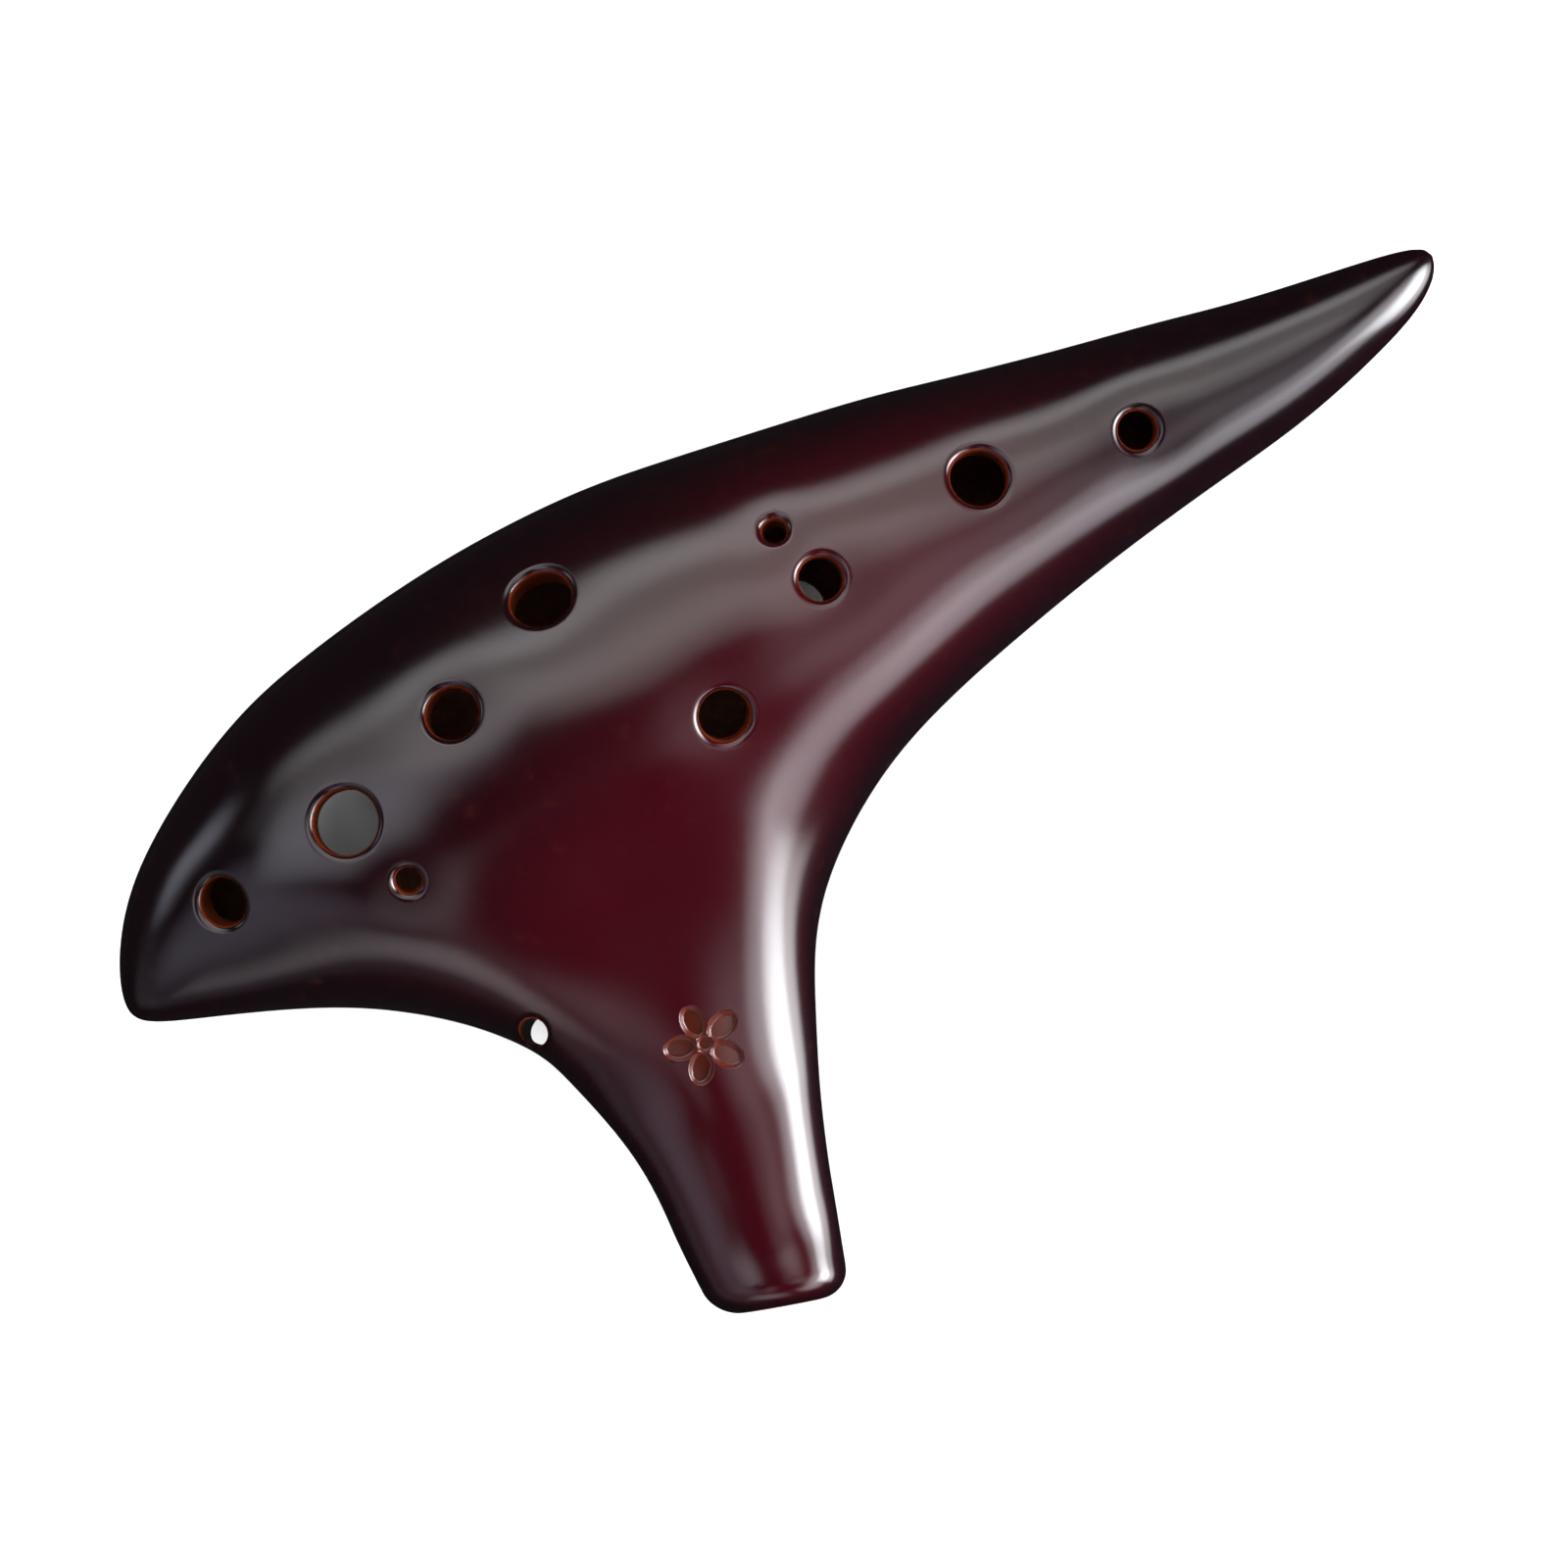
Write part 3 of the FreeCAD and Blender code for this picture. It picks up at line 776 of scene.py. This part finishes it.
def glaze_material(name):
    """Wine-red glaze over clay: nearly black towards head and tail and, as painted shade, where the
    surface faces sideways; rust where it breaks at an edge.
    """
    n = Nodes(bpy.data.materials.new(name))
    mottle = n.noise(38.0, 5.0, 0.55)
    fine = n.noise(420.0, 3.0, 0.6)
    # the depth trait darkens the glaze to WINE_DARK and NIGHT: sprayed towards head and tail, and painted
    # shade on the flanks
    depth = n.uneven(n.trait("depth"), mottle, 0.4)
    glaze = n.ramp(depth, (0.05, WINE), (0.55, WINE_DARK), (0.95, NIGHT))
    speck = n.ramp(fine, (0.62, 0.0), (0.78, 1.0))
    glaze = n.blend(n.math("MULTIPLY", speck, 0.25), glaze, RUST_BROWN)

    bore = n.uneven(n.trait("bore"), mottle, 0.35)
    broken = n.ramp(bore, (0.55, 0.0), (0.85, 1.0))
    wall = n.ramp(bore, (0.75, RUST), (1.0, RUST_BROWN))
    colour = n.blend(broken, glaze, wall)

    press = n.trait("press")
    crease = n.math("MULTIPLY", n.math("MULTIPLY", press, n.math("SUBTRACT", 1.0, press)), 4.0)
    crease = n.math("MULTIPLY", crease, n.ramp(mottle, (0.3, 0.55), (0.6, 1.0)))
    colour = n.blend(n.math("MULTIPLY", press, 0.6), colour, RUST_BROWN)
    colour = n.blend(crease, colour, COPPER)

    clay_tone = n.blend(n.ramp(n.noise(90.0, 6.0, 0.65), (0.35, 0.0), (0.65, 1.0)), CLAY, CLAY_DARK)
    mouth = n.ramp(n.uneven(n.trait("mouth"), mottle, 0.12), (0.93, 0.0), (0.985, 1.0))
    bare = n.math("MAXIMUM", n.ramp(n.trait("bare"), (0.35, 0.0), (0.75, 1.0)), mouth)
    n.link(n.blend(bare, colour, clay_tone), n.shader.inputs["Base Color"])

    gloss = n.math("ADD", 0.13, n.math("MULTIPLY", n.noise(60.0, 4.0, 0.6), 0.08))
    gloss = n.math("ADD", gloss, n.math("MULTIPLY", broken, 0.10))
    gloss = n.math("ADD", gloss, n.math("MULTIPLY", bare, 0.55), clamp=True)
    n.link(gloss, n.shader.inputs["Roughness"])

    ripple = n.bump(n.noise(75.0, 2.0, 0.4), 0.00012, 0.35)
    skin = n.bump(n.noise(700.0, 3.0, 0.5), 0.00002, 0.25, after=ripple)
    grain_height = n.math("MULTIPLY", n.noise(1500.0, 5.0, 0.7), bare)
    n.link(n.bump(grain_height, 0.0002, 0.8, after=skin), n.shader.inputs["Normal"])
    n.shader.inputs["IOR"].default_value = GLAZE_IOR
    return n.owner


def slip_material(name):
    """Bare joining slip: smeared clay with tool streaks along the seam."""
    n = Nodes(bpy.data.materials.new(name))
    streak = n.noise(180.0, 6.0, 0.6, stretch=(0.25, 0.25, 3.0))
    grain = n.noise(1400.0, 5.0, 0.7)
    n.link(n.ramp(streak, (0.3, CLAY_DARK), (0.7, CLAY)), n.shader.inputs["Base Color"])
    n.link(n.ramp(grain, (0.3, 0.7), (0.7, 0.92)), n.shader.inputs["Roughness"])
    relief = n.bump(streak, 0.0003, 0.7)
    n.link(n.bump(grain, 0.0001, 0.6, after=relief), n.shader.inputs["Normal"])
    return n.owner


# ---- Camera, floor and light -----------------------------------------------------------------

VIEW_TURN = math.radians(28.0)      # the tail points up and to the right in the picture
FRAME_WIDTH = 0.1937                # what the picture spans at the parting plane
FRAME_CENTRE = Vector((-0.00837, 0.00727, PARTING_HEIGHT * MM))
LENS = 300.0
RIGHT = Vector((math.cos(VIEW_TURN), -math.sin(VIEW_TURN), 0))
UPWARD = Vector((math.sin(VIEW_TURN), math.cos(VIEW_TURN), 0))
TOWARDS = Vector((0, 0, 1))


def add_camera():
    data = bpy.data.cameras.new("camera")
    data.lens = LENS
    camera = bpy.data.objects.new("camera", data)
    camera.location = FRAME_CENTRE + TOWARDS * (FRAME_WIDTH * LENS / data.sensor_width)
    camera.rotation_euler = (0, 0, -VIEW_TURN)
    data.clip_end = 20.0
    bpy.context.scene.collection.objects.link(camera)
    bpy.context.scene.camera = camera


FLOOR_SIDES = 96
FLOOR_STEP = 0.25                   # between the rings of its flat middle
FLOOR_STEPS = 10
CURVE_RADIUS = 1.6                  # of the bend that rises to the background
CURVE_STEPS = 14
BACKGROUND_HEIGHT = 4.0


def floor_rings():
    """Radius and height of each ring of the floor, from its middle outwards."""
    rings = [(FLOOR_STEP * k, 0.0) for k in range(FLOOR_STEPS + 1)]
    flat = FLOOR_STEP * FLOOR_STEPS
    for k in range(1, CURVE_STEPS + 1):
        bend = k / CURVE_STEPS * math.pi / 2
        rings.append((flat + CURVE_RADIUS * math.sin(bend), CURVE_RADIUS * (1 - math.cos(bend))))
    rings.append((rings[-1][0], BACKGROUND_HEIGHT))
    return rings


def add_floor():
    """A wide pale bowl: flat under the instrument, and rising far away to be its background."""
    sides = FLOOR_SIDES
    bm = bmesh.new()
    loops = []
    for out, rise in floor_rings():
        turns = [2 * math.pi * k / sides for k in range(sides)]
        loops.append([bm.verts.new((out * math.cos(t), out * math.sin(t), rise)) for t in turns]
                     if out else [bm.verts.new((0, 0, rise))])
    for inner, outer in zip(loops, loops[1:]):
        for k in range(sides):
            after = (k + 1) % sides
            bm.faces.new([inner[0], outer[k], outer[after]] if len(inner) == 1
                         else [inner[k], outer[k], outer[after], inner[after]])
    mesh = bpy.data.meshes.new("floor")
    bm.to_mesh(mesh)
    bm.free()
    mesh.shade_smooth()
    n = Nodes(bpy.data.materials.new("floor_paper"))
    n.link(n.ramp(n.noise(3.0, 2.0), (0.0, (0.80, 0.80, 0.80)), (1.0, (0.82, 0.82, 0.82))),
           n.shader.inputs["Base Color"])
    n.shader.inputs["Roughness"].default_value = 0.9
    n.shader.inputs["Specular IOR Level"].default_value = 0.2
    mesh.materials.append(n.owner)
    floor = bpy.data.objects.new("floor", mesh)
    floor.visible_glossy = floor.visible_shadow = False
    bpy.context.scene.collection.objects.link(floor)
    return floor


LIGHT_DISTANCE = 1.3

# Soft boxes: name, turn about the view from the picture's right, angle from the view's axis,
# half angles across and along, radiance, colour
SOFT_BOXES = [
    ("key", -3, 73, 21, 12, 9.5, (0.95, 0.97, 1.0)),
    ("key_edge", -4, 91, 20, 12, 3.5, (1.0, 0.98, 1.0)),
    ("key_soft", -10, 56, 26, 10, 1.8, (0.97, 0.95, 1.0)),
    ("key_low", -40, 71, 18, 12, 1.6, (0.97, 0.93, 1.0)),
    ("right_near", 12, 22, 26, 12, 0.25, (1.0, 0.93, 0.97)),
    ("right_mid", -22, 38, 13, 12, 0.3, (1.0, 0.93, 1.0)),
    ("below", -91, 74, 17, 12, 0.6, (1.0, 0.93, 0.97)),
    ("below_near", -96, 42, 8, 16, 0.25, (1.0, 0.93, 1.0)),
    ("lower_left", -140, 56, 26, 18, 0.3, (0.86, 0.80, 1.0)),
    ("low_fill", -135, 88, 38, 14, 0.1, (0.90, 0.84, 1.0)),
    ("left", 180, 31, 18, 14, 0.7, (0.90, 0.88, 1.0)),
    ("left_edge", 168, 82, 12, 8, 0.8, (0.82, 0.86, 1.0)),
    ("left_up", 147, 42, 16, 18, 0.2, (0.93, 0.92, 1.0)),
    ("above", 92, 38, 34, 17, 0.6, (1.0, 0.95, 0.93)),
    ("above_edge", 98, 54, 36, 9, 0.9, (0.99, 0.98, 1.0)),
    ("above_soft", 80, 20, 28, 10, 0.6, (1.0, 0.95, 0.95)),
]
FLOOR_LIGHT = 5.5
OPEN_MIDDLE = 0.056                 # share of the overhead's side
WORLD_LIGHT = 0.015
WHITE = (1, 1, 1)
SKY = (0.9, 0.95, 1.0, 1)
FADE_SPREAD = 1.25                  # a box is made this much larger, because it fades towards its edges
FADE_GAIN = 2.25                    # and brighter in its middle
HUMP_PEAK = 0.25                    # the most that side * (1 - side) comes to
ENERGY_PER_RADIANCE = 4             # of an area light, for each square metre
NEARLY_ABOVE = 0.999
FLOOR_LIGHT_HALF_ANGLE = 60


def edge_fade(n):
    """Bright in the middle of a light and fading to nothing at its edges."""
    place = n.new("ShaderNodeSeparateXYZ")
    n.link(n.new("ShaderNodeNewGeometry").outputs["Parametric"], place.inputs[0])
    humps = [n.math("MULTIPLY", side, n.math("SUBTRACT", 1.0, side)) for side in place.outputs[:2]]
    return n.math("MULTIPLY", n.math("MULTIPLY", *humps), FADE_GAIN / HUMP_PEAK ** 2)


def fade_edges(data):
    """Let a soft box fade towards its edges, as light through cloth does."""
    n = Nodes(data, "Emission")
    n.link(edge_fade(n), n.shader.inputs["Strength"])


def open_middle(data):
    """Leave the middle of the overhead open, so it doesn't shine straight down through the holes."""
    n = Nodes(data, "Emission")
    offset = n.new("ShaderNodeVectorMath", operation="DISTANCE")
    n.link(n.new("ShaderNodeNewGeometry").outputs["Parametric"], offset.inputs[0])
    offset.inputs[1].default_value = (0.5, 0.5, 0.0)
    ring = n.math("GREATER_THAN", offset.outputs["Value"], OPEN_MIDDLE)
    n.link(n.math("MULTIPLY", edge_fade(n), ring), n.shader.inputs["Strength"])


def add_light(name, direction, across, along, radiance, colour, receivers, shade=fade_edges):
    width, height = (2 * LIGHT_DISTANCE * math.tan(math.radians(half)) for half in (across, along))
    data = bpy.data.lights.new(name, "AREA")
    data.shape = "RECTANGLE"
    data.size, data.size_y = width, height
    data.energy = ENERGY_PER_RADIANCE * width * height * radiance
    data.color = colour
    shade(data)
    light = bpy.data.objects.new(name, data)
    light.location = FRAME_CENTRE + direction * LIGHT_DISTANCE
    side = TOWARDS.cross(direction).normalized() if abs(direction.z) < NEARLY_ABOVE else RIGHT
    rows = Matrix((side, direction.cross(side), direction)).transposed()
    light.rotation_euler = rows.to_euler()
    light.visible_camera = False
    light.light_linking.receiver_collection = receivers
    bpy.context.scene.collection.objects.link(light)


def collection_of(name, objects):
    collection = bpy.data.collections.new(name)
    for thing in objects:
        collection.objects.link(thing)
    return collection


def add_lights(floor, pieces):
    """Soft boxes for the instrument, and one overhead for the floor, so the floor stays even."""
    lit, paper = collection_of("lit_pieces", pieces), collection_of("lit_floor", [floor])
    for name, turn, tilt, across, along, radiance, colour in SOFT_BOXES:
        turn, tilt = math.radians(turn), math.radians(tilt)
        flat = RIGHT * math.cos(turn) + UPWARD * math.sin(turn)
        direction = flat * math.sin(tilt) + TOWARDS * math.cos(tilt)
        add_light(name, direction, across * FADE_SPREAD, along * FADE_SPREAD,
                  radiance / FADE_SPREAD ** 2, colour, lit)
    half = FLOOR_LIGHT_HALF_ANGLE
    add_light("floor_light", TOWARDS, half, half, FLOOR_LIGHT / math.pi, WHITE, paper, open_middle)
    world = bpy.data.worlds.new("world")
    world.use_nodes = True
    background = world.node_tree.nodes["Background"]
    background.inputs["Color"].default_value = SKY
    background.inputs["Strength"].default_value = WORLD_LIGHT
    bpy.context.scene.world = world
    bpy.context.scene.view_settings.view_transform = "Standard"


# ---- The instrument --------------------------------------------------------------------------

add_camera()
floor = add_floor()

body = Pillow(cross_lattice(len(BODY_SECTIONS), len(STEM_SECTIONS)), *outer_targets())
chamber = Pillow(cross_lattice(CHAMBER_SECTIONS, 0), *chamber_targets())
field = (body, chamber, *all_cuts(body))
surface, traits = even_mesh(field)
for _ in range(REFINE_ROUNDS):
    traits = refine(surface, traits, field)

pieces = []
for name, side, slot, nodes in (
    ("front_glazed", 1, "glazed_front", ("front_shell", "cord_eye")),
    ("back_glazed", -1, "glazed_back", ("back_shell", "windway_block", "windway_roof", "labium")),
):
    piece = finished_piece(name, half_of(surface, side, field), field, glaze_material(name))
    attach(piece, "root")
    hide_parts(*nodes)
    pieces.append(piece)

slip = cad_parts["seam_slip"]
slip.data.materials.clear()
slip.data.materials.append(slip_material("seam_slip"))
pieces.append(slip)
add_lights(floor, pieces)
